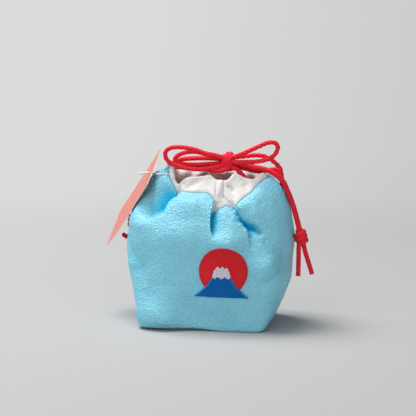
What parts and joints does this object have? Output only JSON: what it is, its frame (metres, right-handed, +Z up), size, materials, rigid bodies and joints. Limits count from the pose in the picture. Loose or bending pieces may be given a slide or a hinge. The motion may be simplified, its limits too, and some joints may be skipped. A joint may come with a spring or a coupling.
{
  "type": "drawstring pouch",
  "caption": "Small gathered cloth pouch with a boxed flat base, contrasting yokes, embroidered motif, drawcords tied in a bow over the mouth, and a hang tag.",
  "frame": {"origin": "middle of the pouch's flat base, on the surface that it stands on", "axes": "+Z up through the mouth, -Y out of the embroidered front, +X towards the pouch's right end as the picture shows it"},
  "size_m": [0.1464, 0.0813, 0.1252],
  "materials": {
    "blue_crepe": "matt crepe with a fine pebbled grain",
    "white_crepe": "matt crepe with a fine pebbled grain",
    "lining_cotton": "plain thin cotton",
    "red_cord": "round braided cord",
    "red_thread": "satin embroidery",
    "blue_thread": "satin embroidery",
    "white_thread": "satin embroidery",
    "tag_card": "smooth coloured card",
    "clear_plastic": "clear to white moulded filament"
  },
  "bodies": {
    "pouch": {"outer_front_panel": "blue_crepe", "outer_back_panel": "blue_crepe", "base_panel": "blue_crepe", "snow_yoke_front": "white_crepe", "snow_yoke_back": "white_crepe", "lining": "lining_cotton", "right_cord_in_channel": "red_cord", "left_cord_in_channel": "red_cord", "bow_knot": "red_cord", "bow_loop_right_small": "red_cord", "left_lead_front": "red_cord", "left_lead_rear": "red_cord", "right_lead_upper": "red_cord", "right_lead_lower": "red_cord", "right_tail_front_upper": "red_cord", "right_tail_rear_upper": "red_cord", "left_tail_front_upper": "red_cord", "left_tail_rear_upper": "red_cord", "embroidered_sun": "red_thread", "embroidered_mountain": "blue_thread", "embroidered_snow": "white_thread", "tag_fastener": "clear_plastic"},
    "bow_left": {"bow_loop_left_front": "red_cord", "bow_loop_left_rear": "red_cord"},
    "bow_right": {"bow_loop_right_front": "red_cord"},
    "right_tassel": {"right_tail_front_lower": "red_cord", "right_tail_rear_lower": "red_cord", "right_stopper_knot": "red_cord", "right_tail_end_front": "red_cord", "right_tail_end_rear": "red_cord"},
    "left_tassel": {"left_tail_front_lower": "red_cord", "left_tail_rear_lower": "red_cord", "left_stopper_knot": "red_cord", "left_tail_end_front": "red_cord", "left_tail_end_rear": "red_cord"},
    "tag": {"hang_tag": "tag_card"}
  },
  "joints": [
    {"name": "left_bow_lift", "type": "hinge", "parent": "pouch", "child": "bow_left", "pos_m": [0.0094, -0.004, 0.1168], "axis": [0, 1, 0], "range_deg": [0, 25]},
    {"name": "right_bow_lift", "type": "hinge", "parent": "pouch", "child": "bow_right", "pos_m": [0.0166, -0.004, 0.1168], "axis": [0, -1, 0], "range_deg": [0, 25]},
    {"name": "right_tassel_swing", "type": "hinge", "parent": "pouch", "child": "right_tassel", "pos_m": [0.0519, -0.0028, 0.0977], "axis": [0, -1, 0], "range_deg": [0, 60]},
    {"name": "left_tassel_swing", "type": "hinge", "parent": "pouch", "child": "left_tassel", "pos_m": [-0.0484, 0.018, 0.0809], "axis": [-0.97, 0.243, 0], "range_deg": [-15, 6]},
    {"name": "tag_turn", "type": "hinge", "parent": "pouch", "child": "tag", "pos_m": [-0.041, -0.003, 0.1017], "axis": [-0.8464, -0.2481, 0.4712], "range_deg": [-15, 30]}
  ]
}
